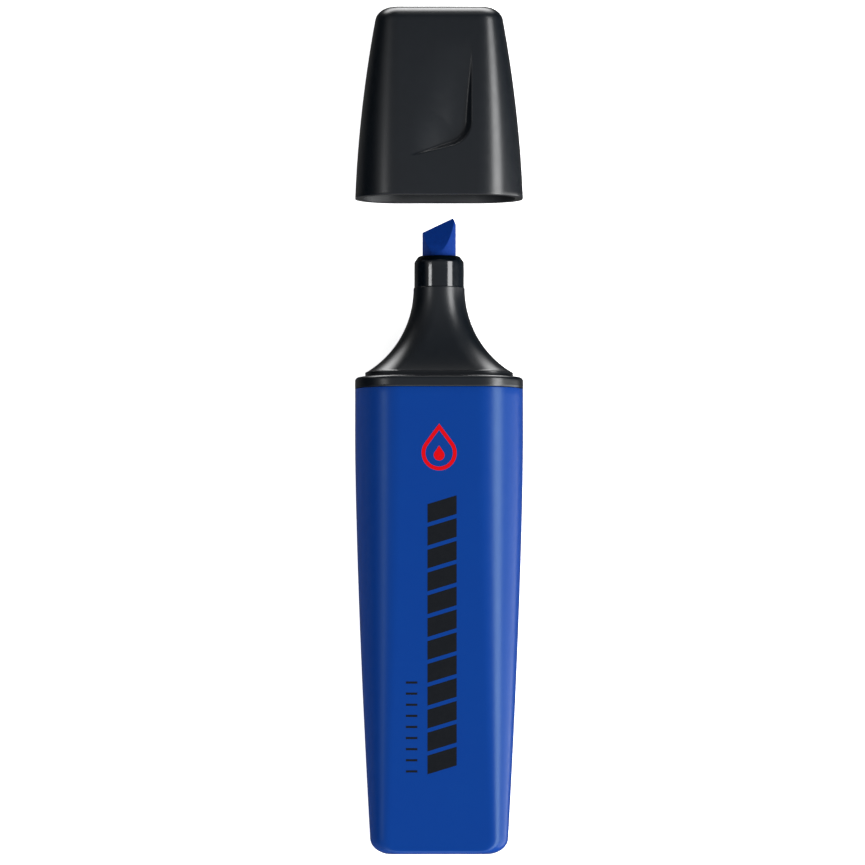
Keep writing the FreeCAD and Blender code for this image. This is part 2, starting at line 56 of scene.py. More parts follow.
AXIS_Z = (barrel_low.z + barrel_high.z) / 2
HALF_WIDTH = (cap_high.x - cap_low.x) / 2
HALF_DEPTH = (barrel_high.z - barrel_low.z) / 2
END_Y = barrel_low.y
SEAM_Y = barrel_high.y
RIM_Y = section_high.y
MOUTH_Y = cap_low.y
CAP_HEIGHT = cap_high.y - cap_low.y

CORNER = 7.2
BARREL_WALL = 1.2
BAND_HEIGHT = 1.83
PLINTH_HEIGHT = 0.8
CONE_HEIGHT = 13.33
LAND_RADIUS = 3.92
NECK_RADIUS = 4.05
CAP_WALL = 1.25

# Scales of the rings that close a flat end, from its rim to its middle.
TO_MIDDLE = (0.97, 0.8, 0.5, 0.15)


# Shape helpers --------------------------------------------------------------------------

def slab_points(half_width, half_depth, corner, flat_steps, corner_steps, side_steps):
    """Points round a rectangle with round corners, from the left of the printed side."""
    flat_x, flat_z = half_width - corner, half_depth - corner
    points = []
    sides = (
        ((-flat_x, half_depth), (flat_x, half_depth), flat_steps, (flat_x, flat_z), 90),
        ((half_width, flat_z), (half_width, -flat_z), side_steps, (flat_x, -flat_z), 0),
        ((flat_x, -half_depth), (-flat_x, -half_depth), flat_steps, (-flat_x, -flat_z), -90),
        ((-half_width, -flat_z), (-half_width, flat_z), side_steps, (-flat_x, flat_z), 180),
    )
    for (x0, z0), (x1, z1), steps, (cx, cz), angle in sides:
        for step in range(steps):
            share = step / steps
            points.append((x0 + (x1 - x0) * share, z0 + (z1 - z0) * share))
        for step in range(corner_steps):
            turn = math.radians(angle - 90 * step / corner_steps)
            points.append((cx + corner * math.cos(turn), cz + corner * math.sin(turn)))
    return points


def even_points(half_width, half_depth, corner, count):
    """The same outline with its points evenly spaced, from the middle of the printed side."""
    flat_x, flat_z = half_width - corner, half_depth - corner
    bend = corner * math.pi / 2
    runs = [flat_x, bend, 2 * flat_z, bend, 2 * flat_x, bend, 2 * flat_z, bend, flat_x]
    starts = [sum(runs[:index]) for index in range(len(runs))]
    total = sum(runs)
    points = []
    for index in range(count):
        place = total * index / count
        run = max(i for i, start in enumerate(starts) if start <= place + 1e-9)
        along = place - starts[run]
        turn = along / corner if corner else 0.0
        points.append((
            (along, half_depth),
            (flat_x + corner * math.sin(turn), flat_z + corner * math.cos(turn)),
            (half_width, flat_z - along),
            (flat_x + corner * math.cos(turn), -flat_z - corner * math.sin(turn)),
            (flat_x - along, -half_depth),
            (-flat_x - corner * math.sin(turn), -flat_z - corner * math.cos(turn)),
            (-half_width, -flat_z + along),
            (-flat_x - corner * math.cos(turn), flat_z + corner * math.sin(turn)),
            (-flat_x + along, half_depth),
        )[run])
    return points


def ring_at(y, points, scale=1.0):
    """An outline put across the pen at a height y, drawn towards its middle by a scale."""
    return [Vector((x * scale, y, AXIS_Z + z * scale)) for x, z in points]


def quarter_turn(steps):
    """Shares of a rounding, end face to wall: how far still inset, how far up the wall."""
    turns = [math.radians(90 * step / steps) for step in range(steps + 1)]
    return [(1 - math.sin(turn), 1 - math.cos(turn)) for turn in turns]


def spread(low, high, steps):
    """Evenly spaced values from low to high, both included."""
    return [low + (high - low) * step / steps for step in range(steps + 1)]


def skin(name, rings, loop=False, cap_start=False, cap_end=False):
    """A mesh of quads over rings of equal length; its ends are closed by a fan or left open."""
    count = len(rings[0])
    vertices = [point * MM for ring in rings for point in ring]
    faces = []
    last = len(rings) if loop else len(rings) - 1
    for row in range(last):
        lower, upper = row * count, (row + 1) % len(rings) * count
        for index in range(count):
            after = (index + 1) % count
            faces.append((lower + index, lower + after, upper + after, upper + index))
    for closed, row in ((cap_start, 0), (cap_end, len(rings) - 1)):
        if closed:
            centre = sum(rings[row], Vector()) / count
            vertices.append(centre * MM)
            hub = len(vertices) - 1
            for index in range(count):
                faces.append((row * count + index, row * count + (index + 1) % count, hub))
    return mesh_object(name, vertices, faces)


def mesh_object(name, vertices, faces):
    """A smooth-shaded object with its faces turned outwards."""
    mesh = bpy.data.meshes.new(name)
    mesh.from_pydata([tuple(vertex) for vertex in vertices], [], faces)
    build = bmesh.new()
    build.from_mesh(mesh)
    bmesh.ops.recalc_face_normals(build, faces=build.faces)
    build.to_mesh(mesh)
    build.free()
    mesh.polygons.foreach_set("use_smooth", [True] * len(mesh.polygons))
    piece = bpy.data.objects.new(name, mesh)
    bpy.context.scene.collection.objects.link(piece)
    return piece


def finish_piece(piece, body, materials, node=None):
    """Give a piece its materials, attach it to the body it rides on and hide the CAD node it
    replaces.
    """
    for material in materials:
        piece.data.materials.append(material)
    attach(piece, body)
    if node:
        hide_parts(node)
    return piece


# Materials ------------------------------------------------------------------------------

class Shader:
    """A material's node tree with short ways to add and join nodes."""

    def __init__(self, name, **settings):
        self.material = bpy.data.materials.new(name)
        self.material.use_nodes = True
        self.tree = self.material.node_tree
        self.surface = self.tree.nodes["Principled BSDF"]
        for socket, value in settings.items():
            self.surface.inputs[socket.replace("_", " ")].default_value = value
        self.place = self.add("ShaderNodeTexCoord").outputs["Object"]

    def add(self, kind, **inputs):
        """A new node with its inputs set to values or linked to sockets."""
        node = self.tree.nodes.new(kind)
        for socket, value in inputs.items():
            self.feed(node.inputs[socket.replace("_", " ")], value)
        return node

    def feed(self, socket, value):
        if isinstance(value, bpy.types.NodeSocket):
            self.tree.links.new(value, socket)
        else:
            socket.default_value = value

    def noise(self, size_mm, detail=2.0, place=None):
        """Noise whose features are about size_mm across."""
        vector = self.place if place is None else place
        scale = 1 / (size_mm * MM)
        return self.add("ShaderNodeTexNoise", Vector=vector, Scale=scale, Detail=detail)

    def between(self, factor, low, high):
        """Noise, which seldom leaves 0.3 to 0.7, stretched to run from low to high."""
        node = self.add("ShaderNodeMapRange", Value=factor)
        settings = (("From Min", 0.3), ("From Max", 0.7), ("To Min", low), ("To Max", high))
        for socket, number in settings:
            node.inputs[socket].default_value = number
        return node.outputs["Result"]

    def mix(self, factor, first, second):
        """A colour that goes from the first to the second as the factor rises."""
        node = self.tree.nodes.new("ShaderNodeMix")
        node.data_type = "RGBA"
        colours = [socket for socket in node.inputs if socket.type == "RGBA"]
        self.feed(node.inputs["Factor"], factor)
        self.feed(colours[0], first)
        self.feed(colours[1], second)
        return next(socket for socket in node.outputs if socket.type == "RGBA")

    def bump(self, height, depth_mm, below=None):
        """A surface normal for a relief depth_mm deep, laid over another normal if given."""
        node = self.add("ShaderNodeBump", Height=height)
        node.inputs["Distance"].default_value = depth_mm * MM
        if below is not None:
            self.feed(node.inputs["Normal"], below)
        return node.outputs["Normal"]

    def finish(self, colour=None, roughness=None, normal=None):
        """Links what is given to the surface and returns the material."""
        sockets = (("Base Color", colour), ("Roughness", roughness), ("Normal", normal))
        for socket, value in sockets:
            if value is not None:
                self.feed(self.surface.inputs[socket], value)
        return self.material


FLOW_SIZE = 6.0
SHEEN_SIZE = 1.5
SHEEN_SPREAD = 0.02


def moulded(name, dark, light, roughness, grain_mm, grain_depth_mm, **settings):
    """Moulded plastic: faint flow mottling, uneven sheen and a fine surface grain."""
    shader = Shader(name, **settings)
    flow = shader.noise(FLOW_SIZE, detail=3.0).outputs["Fac"]
    grain = shader.noise(grain_mm, detail=2.0).outputs["Fac"]
    colour = shader.mix(flow, dark, light)
    uneven = shader.noise(SHEEN_SIZE, detail=4.0).outputs["Fac"]
    sheen = shader.between(uneven, roughness - SHEEN_SPREAD, roughness + SHEEN_SPREAD)
    return shader.finish(colour, sheen, shader.bump(grain, grain_depth_mm))


def felt(name, dark, light):
    """Sintered felt soaked in ink: short matted fibres with darker gaps."""
    shader = Shader(name, Specular_IOR_Level=0.10)
    stretch = shader.add("ShaderNodeMapping", Vector=shader.place)
    stretch.inputs["Scale"].default_value = (1.0, 0.3, 1.0)
    fibres = shader.noise(0.12, detail=3.0, place=stretch.outputs["Vector"]).outputs["Fac"]
    clumps = shader.noise(0.6, detail=2.0).outputs["Fac"]
    colour = shader.mix(fibres, dark, light)
    rough = shader.between(clumps, 0.6, 0.8)
    normal = shader.bump(fibres, 0.03, below=shader.bump(clumps, 0.05))
    return shader.finish(colour, rough, normal)


def print_ink(name, dark, light):
    """Pad-printed ink: slightly uneven coverage and gloss."""
    shader = Shader(name, Specular_IOR_Level=0.12)
    coverage = shader.noise(0.25, detail=4.0).outputs["Fac"]
    colour = shader.mix(coverage, dark, light)
    rough = shader.between(shader.noise(0.8).outputs["Fac"], 0.32, 0.42)
    return shader.finish(colour, rough, shader.bump(coverage, 0.002))


def clear_film(name):
    """Thin clear wrap with soft folds."""
    shader = Shader(name, Roughness=0.15, Alpha=0.5)
    folds = shader.noise(3.0, detail=3.0).outputs["Fac"]
    colour = shader.mix(folds, (0.75, 0.8, 0.86, 1), (0.88, 0.9, 0.93, 1))
    return shader.finish(colour, normal=shader.bump(folds, 0.1))


blue_plastic = moulded(
    "blue_plastic", (0.0, 0.026, 0.180, 1), (0.0, 0.029, 0.186, 1), 0.30, 0.6, 0.0006,
    Specular_IOR_Level=0.30, Specular_Tint=(0.50, 0.72, 0.72, 1),
)
BLACK_DARK, BLACK_LIGHT = (0.0008, 0.0022, 0.0045, 1), (0.0012, 0.0032, 0.0060, 1)
black_satin = moulded("black_satin", BLACK_DARK, BLACK_LIGHT, 0.30, 0.5, 0.0010)
black_polished = moulded(
    "black_polished", BLACK_DARK, (0.0010, 0.0030, 0.0055, 1), 0.13, 1.0, 0.0004
)
cap_satin = moulded("cap_satin", BLACK_DARK, BLACK_LIGHT, 0.30, 0.5, 0.0012)
# Inside of the cap: the same black plastic, rougher, with a lighter colour as painted light in the
# shaded inside of the mouth.
cap_inside_painted_light = moulded(
    "cap_inside_painted_light", (0.0025, 0.004, 0.006, 1), (0.004, 0.006, 0.008, 1), 0.55, 0.5, 0.0012
)
nib_felt = felt("nib_felt", (0.0, 0.014, 0.130, 1), (0.0, 0.032, 0.215, 1))
fibre = felt("reservoir_fibre", (0.0, 0.020, 0.12, 1), (0.003, 0.045, 0.22, 1))
film = clear_film("film")
seal_plastic = moulded(
    "seal_plastic", (0.004, 0.005, 0.007, 1), (0.007, 0.008, 0.010, 1), 0.25, 0.6, 0.001
)
red_ink = print_ink("red_ink", (0.42, 0.0, 0.002, 1), (0.52, 0.0, 0.003, 1))
black_ink = print_ink("black_ink", (0.003, 0.004, 0.006, 1), (0.006, 0.007, 0.009, 1))


# Barrel ---------------------------------------------------------------------------------

AROUND = 200
STRAIGHT = 8.0
TAPER_RATE = 0.0049
TAPER_POWER = 1.5
CORNER_SHARE = 1.75
# The closed end rounds over further at the narrow sides than at the broad faces.
SIDE_RISE, SIDE_INSET = 2.4, 3.0
FACE_RISE, FACE_INSET = 0.6, 0.6
SIDE_CLEARANCE = 0.01
EDGE = 0.1
FLOOR_RISES = (1.8, 1.4, BARREL_WALL)


def end_inset(rise, height, inset):
    """How far a wall is drawn in where the closed end rounds over."""
    share = min(1.0, rise / height)
    return inset * (1 - math.sqrt(1 - (1 - share) ** 2))


def barrel_ring(rise, inset=0.0, scale=1.0):
    """Straight below the seam, then closing in, its corners tighter as it narrows."""
    run = max(0.0, SEAM_Y - END_Y - rise - STRAIGHT)
    loss = TAPER_RATE * run ** TAPER_POWER
    drawn_in = SIDE_CLEARANCE + loss + end_inset(rise, SIDE_RISE, SIDE_INSET)
    half_width = HALF_WIDTH - drawn_in
    half_depth = HALF_DEPTH - end_inset(rise, FACE_RISE, FACE_INSET)
    corner = CORNER - CORNER_SHARE * loss
    outline = even_points(half_width - inset, half_depth - inset, corner - inset, AROUND)
    return ring_at(END_Y + rise, outline, scale)


def barrel_rings():
    """From the middle of the closed end, out and up the wall, over the rim and down inside."""
    seam = SEAM_Y - END_Y
    rings = [barrel_ring(0.0, 0.0, scale) for scale in reversed(TO_MIDDLE)]
    rings += [barrel_ring(FACE_RISE * rise) for _, rise in quarter_turn(8)]
    start = math.degrees(math.acos(1 - FACE_RISE / SIDE_RISE))
    for turn in spread(start, 90, 9)[1:]:
        rings.append(barrel_ring(SIDE_RISE * (1 - math.cos(math.radians(turn)))))
    rings += [barrel_ring(rise) for rise in spread(SIDE_RISE, seam - EDGE, 60)[1:]]
    for inset, rise in list(reversed(quarter_turn(3)))[1:]:
        rings.append(barrel_ring(seam - EDGE * rise, EDGE * inset))
    rings.append(barrel_ring(seam, BARREL_WALL))
    inside = spread(seam - EDGE, SIDE_RISE, 14) + list(FLOOR_RISES)
    rings += [barrel_ring(rise, BARREL_WALL) for rise in inside]
    return rings + [barrel_ring(BARREL_WALL, BARREL_WALL, scale) for scale in TO_MIDDLE]


barrel = skin("barrel_shell", barrel_rings(), cap_start=True, cap_end=True)
finish_piece(barrel, "pen", [blue_plastic], "barrel")


# Front section --------------------------------------------------------------------------

SHOULDER_Y = SEAM_Y + BAND_HEIGHT
FOOT_Y = SHOULDER_Y + PLINTH_HEIGHT
NECK_Y = FOOT_Y + CONE_HEIGHT
SEAM_GAP = 0.04
SPIGOT_GAP = 0.1
SECTION_WALL = 1.3
BAND_ROUND = 0.6
# Half width, half depth and corner radius.
PLINTH = (11.65, 6.65, 5.6)
CONE_FOOT = (11.51, 6.45, 5.4)
CONE_CURVE = 15.5
SMALL_ROUND = 0.12
# The small step from the neck in to the land: rise above the neck, and radius there.
LAND_STEP = (
    (0.04, NECK_RADIUS), (0.07, NECK_RADIUS - 0.03), (0.08, LAND_RADIUS + 0.02), (0.11, LAND_RADIUS)
)
POLISHED_ABOVE = 0.09
# The chamfer round the nib's bore: share of its height, and how far in from the land.
RIM_DROP = 0.88
RIM_CHAMFER = (
    (-0.12, 0.01), (0.02, 0.05), (0.14, 0.12), (0.5, 0.35), (0.86, 0.56), (0.96, 0.66), (1.0, 0.78)
)
BORE_RADIUS = 2.7
# The flue widens from its neck, halfway up the cone, to its foot at the seam.
FLUE_NECK = 3.2
FLUE_RADIUS = 5.5
FLUE_LIP = 0.3
LIP_CORNER = 4.6


def section_ring(y, half_width, half_depth, corner):
    """A rectangle with round corners, across the pen at a height y."""
    return ring_at(y, even_points(half_width, half_depth, corner, AROUND))


def round_ring(y, radius):
    """A circle across the pen at a height y."""
    return section_ring(y, radius, radius, radius)


def inset_ring(y, size, inset):
    """An outline of a given half width, half depth and corner radius, moved in by an inset."""
    return section_ring(y, *[part - inset for part in size])


def cone_rings(steps):
    """The flare from the plinth to the round neck, a hollow arc seen from the front."""
    widest = math.asin(CONE_HEIGHT / CONE_CURVE)
    full = CONE_CURVE * (1 - math.cos(widest))
    rings = []
    for turn in spread(widest, 0.0, steps):
        share = CONE_CURVE * (1 - math.cos(turn)) / full
        size = [NECK_RADIUS + (part - NECK_RADIUS) * share for part in CONE_FOOT]
        rings.append(section_ring(NECK_Y - CONE_CURVE * math.sin(turn), *size))
    return rings


def section_rings():
    """A closed loop: spigot, band, shoulder, plinth, cone, land, rim, bore, flue, ink room.

    Rings a few hundredths of a millimetre apart keep the shading crisp at the edges.
    """
    band = (HALF_WIDTH, HALF_DEPTH, CORNER)
    inside = BARREL_WALL + SPIGOT_GAP
    room = inside + SECTION_WALL
    rings = [inset_ring(section_low.y, band, inside)]
    rings += [inset_ring(y, band, inside) for y in (SEAM_Y - 1.0, SEAM_Y + SEAM_GAP)]
    rings += [inset_ring(SEAM_Y + SEAM_GAP, band, inset) for inset in (0.5, 0.1)]
    rings += [inset_ring(SEAM_Y + SEAM_GAP + 0.03, band, 0.03)]
    rings += [inset_ring(y, band, 0.0) for y in spread(SEAM_Y + 0.1, SHOULDER_Y - BAND_ROUND, 4)]
    for inset, rise in list(reversed(quarter_turn(8)))[1:]:
        rings.append(inset_ring(SHOULDER_Y - BAND_ROUND * rise, band, BAND_ROUND * inset))
    rings += [inset_ring(SHOULDER_Y, band, BAND_ROUND + 0.15)]
    rings += [inset_ring(SHOULDER_Y, PLINTH, -inset) for inset in (0.15, 0.05)]
    rings += [inset_ring(SHOULDER_Y + 0.05, PLINTH, 0.0)]
    for inset, rise in reversed(quarter_turn(4)):
        rings.append(inset_ring(FOOT_Y - SMALL_ROUND * rise, PLINTH, SMALL_ROUND * inset))
    rings += cone_rings(48)
    rings += [round_ring(NECK_Y + rise, radius) for rise, radius in LAND_STEP]
    land = spread(NECK_Y + 0.2, RIM_Y - RIM_DROP - 0.25, 6)
    rings += [round_ring(y, LAND_RADIUS) for y in land]
    for rise, inset in RIM_CHAMFER:
        rings.append(round_ring(RIM_Y - RIM_DROP * (1 - rise), LAND_RADIUS - inset))
    for drop, widening in ((0.0, 0.1), (0.03, 0.02), (0.1, 0.0)):
        rings.append(round_ring(RIM_Y - drop, BORE_RADIUS + widening))
    flue_top = FOOT_Y + CONE_HEIGHT / 2
    rings += [round_ring(y, BORE_RADIUS) for y in (RIM_Y - 3, flue_top)]
    rings += [round_ring(flue_top, FLUE_NECK), round_ring(SEAM_Y, FLUE_RADIUS)]
    lip = (FLUE_RADIUS + FLUE_LIP, HALF_DEPTH - room, LIP_CORNER)
    rings += [inset_ring(SEAM_Y, lip, 0.05)]
    rings += [inset_ring(SEAM_Y, band, room), inset_ring(section_low.y, band, room)]
    return rings


section = skin("section_moulding", section_rings(), loop=True)
finish_piece(section, "pen", [black_satin, black_polished], "front_section")
for face in section.data.polygons:
    on_land = face.center.y / MM > NECK_Y + POLISHED_ABOVE
    face.material_index = 1 if on_land else 0


# Nib ------------------------------------------------------------------------------------

NIB_RADIUS = 2.65
NIB_SLANT = 25.4
NIB_FLAT = 23.5
APEX_BEVEL = 64.0
APEX_X = 2.19
NIB_EDGE = 1.8
NIB_AROUND = 128
WORN_EDGE = 0.05
# Degrees between two faces from which their edge is worn, and from which it is shaded sharp.
WORN_ABOVE, SHARP_ABOVE = 20, 25


def cut_plane(build, point, normal):
    """Cut the solid along a plane, drop what lies in front of it and close the cut."""
    parts = build.verts[:] + build.edges[:] + build.faces[:]
    cut = bmesh.ops.bisect_plane(
        build, geom=parts, plane_co=point * MM, plane_no=normal, clear_outer=True
    )
    rim = [part for part in cut["geom_cut"] if isinstance(part, bmesh.types.BMEdge)]
    bmesh.ops.edgenet_fill(build, edges=rim)


def make_nib():
    """Felt rod: an oblique end, a small bevel at the point and two sloping flats."""
    apex = Vector((APEX_X, nib_high.y, AXIS_Z))
    slant, flat, bevel = (math.radians(angle) for angle in (NIB_SLANT, NIB_FLAT, APEX_BEVEL))
    turns = [2 * math.pi * index / NIB_AROUND for index in range(NIB_AROUND)]
    circle = [(NIB_RADIUS * math.sin(turn), NIB_RADIUS * math.cos(turn)) for turn in turns]
    heights = spread(nib_low.y, RIM_Y - 1.0, 6) + spread(RIM_Y - 0.5, nib_high.y + 1.5, 20)
    nib = skin("nib_rod", [ring_at(y, circle) for y in heights], cap_start=True, cap_end=True)
    build = bmesh.new()
    build.from_mesh(nib.data)
    cut_plane(build, apex, Vector((-math.sin(slant), math.cos(slant), 0)))
    cut_plane(build, apex, Vector((math.sin(bevel), math.cos(bevel), 0)))
    uphill = Vector((-math.sin(slant), math.cos(slant), 0))
    for side in (1, -1):
        normal = uphill * math.sin(flat) + Vector((0, 0, side * math.cos(flat)))
        cut_plane(build, apex + Vector((0, 0, side * NIB_EDGE / 2)), normal)
    sharp = [edge for edge in build.edges if edge.calc_face_angle(0) > math.radians(WORN_ABOVE)]
    bmesh.ops.bevel(
        build, geom=sharp, offset=WORN_EDGE * MM, segments=2, affect="EDGES", clamp_overlap=True
    )
    bmesh.ops.recalc_face_normals(build, faces=build.faces)
    build.to_mesh(nib.data)
    build.free()
    nib.data.polygons.foreach_set("use_smooth", [True] * len(nib.data.polygons))
    nib.data.set_sharp_from_angle(angle=math.radians(SHARP_ABOVE))
    return nib


finish_piece(make_nib(), "pen", [nib_felt], "nib")


# Cap ------------------------------------------------------------------------------------

SIDE_LEAN, SIDE_CURVE = 0.0407, 195.0
FACE_LEAN, FACE_CURVE = 0.03, 428.0
CORNER_LOSS, CORNER_CURVE = 0.055, 0.0024
TOP_RISE, TOP_INSET = 1.9, 2.3
MOUTH_ROUND = 0.06
FLAT_STEPS, CORNER_STEPS, SIDE_STEPS = 80, 14, 4
# Heights between which the rings are close together, for the scoops.
FINE_LOW, FINE_HIGH = 5.5, 24.0

# The scoop's edge runs from its tip along a rising low edge, round a corner and up the side.
SCOOP_SIDE = 5.17
SCOOP_TIP = (-4.9, 6.0)
SCOOP_RISE = 13.5
SCOOP_ROUND = 4.2
SCOOP_DEPTH = 1.0
# Wall slope at the low edge and at the side, and the heights between which it changes.
LOW_SLOPE, SIDE_SLOPE = 1.3, 1.0
SLOPE_LOW, SLOPE_HIGH = 7.0, 12.0
# How far the floor takes to ease out inwards, along the low edge and up to the top.
SCOOP_REACH = 6.5
SCOOP_ALONG = 7.5
SCOOP_FADE, SCOOP_TOP = 10.0, 25.0
FLOOR_BLEND = 0.2
ROOF_ROUND = 1.0


def cap_size(height, inset):
    """Half width, half depth and corner radius of the cap at a height above its mouth."""
    side = SIDE_LEAN * height + height ** 2 / (2 * SIDE_CURVE)
    face = FACE_LEAN * height + height ** 2 / (2 * FACE_CURVE)
    corner = CORNER - CORNER_LOSS * height - CORNER_CURVE * height ** 2
    return HALF_WIDTH - side - inset, HALF_DEPTH - face - inset, corner - inset


def cap_ring(height, inset, scale=1.0):
    """The cap's outline at a height above its mouth, moved in from the surface by an inset."""
    outline = slab_points(*cap_size(height, inset), FLAT_STEPS, CORNER_STEPS, SIDE_STEPS)
    return ring_at(MOUTH_Y + height, outline, scale)


def smooth_step(value):
    """Eases from 0 to 1 as the value runs from 0 to 1."""
    value = min(1.0, max(0.0, value))
    return value * value * (3 - 2 * value)


def inside_scoop(x, height):
    """How far a point of the broad face lies inside the scoop's J-shaped edge."""
    rise = math.radians(SCOOP_RISE)
    along = Vector((math.cos(rise), math.sin(rise)))
    up = Vector((-math.sin(rise), math.cos(rise)))
    tip = Vector(SCOOP_TIP)
    left = SCOOP_SIDE - x
    above = (Vector((x, height)) - tip).dot(up)
    # The corner's centre is one radius away from both edges.
    centre_x = SCOOP_SIDE - SCOOP_ROUND
    centre_height = tip.y + (SCOOP_ROUND - (centre_x - tip.x) * up.x) / up.y
    from_centre = Vector((x - centre_x, height - centre_height))
    if from_centre.dot(along) > 0 and from_centre.y < 0:
        return SCOOP_ROUND - from_centre.length
    return min(left, above)


def soft_min(first, second, blend):
    """The smaller of two values, rounded off where they are nearly equal."""
    near = max(blend - abs(first - second), 0.0) / blend
    return min(first, second) - near ** 2 * blend / 4


def scoop_depth(x, height):
    """Depth of the thumb scoop: a steep wall at its curved edge, a floor that eases out."""
    inside = inside_scoop(x, height)
    if inside <= 0:
        return 0.0
    ease = math.exp(-(inside / SCOOP_REACH) ** 2)
    along = smooth_step((x - SCOOP_TIP[0]) / SCOOP_ALONG)
    upward = 1 - smooth_step((height - SCOOP_FADE) / (SCOOP_TOP - SCOOP_FADE))
    floor = SCOOP_DEPTH * ease * along * upward
    change = smooth_step((height - SLOPE_LOW) / (SLOPE_HIGH - SLOPE_LOW))
    slope = LOW_SLOPE + (SIDE_SLOPE - LOW_SLOPE) * change
    return max(0.0, soft_min(slope * inside, floor, FLOOR_BLEND))


def carve_scoops(ring):
    """The same scoop on both broad faces, turned half round from one to the other."""
    carved = []
    for point in ring:
        height = point.y - MOUTH_Y
        side = 1 if point.z > AXIS_Z else -1
        depth = scoop_depth(point.x * side, height) if abs(point.x) < SCOOP_SIDE + 1 else 0.0
        carved.append(point - Vector((0, 0, side * depth)))
    return carved


def cap_inner_rings():
    """From the middle of the roof inside, down the inner wall to the mouth's edge."""
    roof = CAP_HEIGHT - CAP_WALL
    rings = [cap_ring(roof, CAP_WALL + ROOF_ROUND, scale) for scale in (0.15, 0.5, 0.9)]
    for inset, rise in quarter_turn(4):
        rings.append(cap_ring(roof - ROOF_ROUND * rise, CAP_WALL + ROOF_ROUND * inset))
    heights = spread(roof - ROOF_ROUND, MOUTH_ROUND, 24)[1:]
    return rings + [cap_ring(height, CAP_WALL) for height in heights]


def cap_outer_rings():
    """Over the mouth's edge, up the outside with its scoops and in to the middle of the top."""
    rings = [cap_ring(0.0, CAP_WALL - MOUTH_ROUND), cap_ring(0.0, MOUTH_ROUND)]
    rings += [cap_ring(MOUTH_ROUND * 0.3, MOUTH_ROUND * 0.3), cap_ring(MOUTH_ROUND, 0.0)]
    wall_top = CAP_HEIGHT - TOP_RISE
    heights = spread(MOUTH_ROUND, FINE_LOW, 10)[1:] + spread(FINE_LOW, FINE_HIGH, 132)[1:]
    heights += spread(FINE_HIGH, wall_top, 8)[1:]
    rings += [carve_scoops(cap_ring(height, 0.0)) for height in heights]
    for inset, rise in list(reversed(quarter_turn(12)))[1:]:
        rings.append(cap_ring(CAP_HEIGHT - TOP_RISE * rise, TOP_INSET * inset))
    return rings + [cap_ring(CAP_HEIGHT, TOP_INSET, scale) for scale in TO_MIDDLE]


inner_rings = cap_inner_rings()
cap = skin("cap_moulding", inner_rings + cap_outer_rings(), cap_start=True, cap_end=True)
finish_piece(cap, "cap", [cap_satin, cap_inside_painted_light], "cap_shell")
# The inside comes first; the fan that closes its roof comes just before the outside's fan.
around, total = len(inner_rings[0]), len(cap.data.polygons)
inner_faces = (len(inner_rings) - 1) * around
roof_faces = range(total - 2 * around, total - around)
for face in cap.data.polygons:
    face.material_index = 1 if face.index < inner_faces or face.index in roof_faces else 0


# Inner pieces that keep their CAD shape -------------------------------------------------

def dress_node(node, material):
    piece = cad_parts[node]
    piece.data.materials.clear()
    piece.data.materials.append(material)


dress_node("reservoir_core", fibre)
dress_node("reservoir_film", film)
dress_node("cap_seal", seal_plastic)


# Printed marks --------------------------------------------------------------------------

INK_DEPTH = 0.012
# Radius of the foot and height of the tip: the drop's outer edge, inner edge and core.
DROP_Y = END_Y + 62.7
DROP_OUTER, DROP_INNER, DROP_CORE = (2.75, 4.6), (2.15, 3.6), (0.85, 1.5)
CORE_OFFSET = 0.35


def plate(name, outlines, material, bands=()):
    """A thin printed mark on the broad face: filled outlines, and bands between two outlines.

    An outline is a closed list of (x, y) points; a band's two outlines have equally many.
    """
    vertices, faces = [], []
    low, high = barrel_high.z - INK_DEPTH, barrel_high.z + INK_DEPTH
    shapes = [((outline, low), (outline, high)) for outline in outlines]
    for outer, inner in bands:
        shapes.append(((outer, low), (outer, high), (inner, high), (inner, low)))
    for shape in shapes:
        first, count = len(vertices), len(shape[0][0])
        for outline, level in shape:
            vertices += [Vector((x, y, level)) * MM for x, y in outline]
        closed = len(shape) > 2
        for row in range(len(shape) if closed else 1):
            lower, upper = first + row * count, first + (row + 1) % len(shape) * count
            for index in range(count):
                after = (index + 1) % count
                faces.append((lower + index, lower + after, upper + after, upper + index))
        if not closed:
            faces.append(tuple(range(first, first + count)))
            faces.append(tuple(range(first + count, first + 2 * count)))
    mark = mesh_object(name, vertices, faces)
    mark.data.polygons.foreach_set("use_smooth", [False] * len(mark.data.polygons))
    return finish_piece(mark, "pen", [material])


def drop_outline(radius, tip, middle, steps=40):
    """A drop: a round foot with two straight sides that meet in a tip."""
    lift = math.degrees(math.acos(radius / tip))
    turns = spread(90 + lift, 450 - lift, steps)
    points = [
        (radius * math.cos(math.radians(turn)), middle + radius * math.sin(math.radians(turn)))
        for turn in turns
    ]
    return points + [(0.0, middle + tip)]


def stripe_marks(left, right, low, high, count, fill, slant):
    """A column of blocks between two heights above the closed end, rising to the right."""
    pitch = (high - low - slant) / count
    blocks = []
    for index in range(count):
        foot = END_Y + low + pitch * index
        top = foot + pitch * fill
        blocks.append([(left, foot), (right, foot + slant), (right, top + slant), (left, top)])
    return blocks


drop_band = (drop_outline(*DROP_OUTER, DROP_Y), drop_outline(*DROP_INNER, DROP_Y))
drop_core = drop_outline(*DROP_CORE, DROP_Y - CORE_OFFSET)
plate("mark_drop", [drop_core], red_ink, bands=[drop_band])
blocks = stripe_marks(-1.83, 2.74, 12.4, 56.7, count=12, fill=0.82, slant=1.4)
ticks = stripe_marks(-5.2, -3.4, 12.7, 28.3, count=9, fill=0.2, slant=0.0)
plate("mark_blocks", blocks, black_ink)
plate("mark_ticks", ticks, black_ink)


# Stage, light and camera ----------------------------------------------------------------

CENTRE = Vector((0, 0, AXIS_Z * MM))
FLOOR_HALF = 3.0
FLOOR_GAP = 0.0001
LIGHT_REACH = 1.2


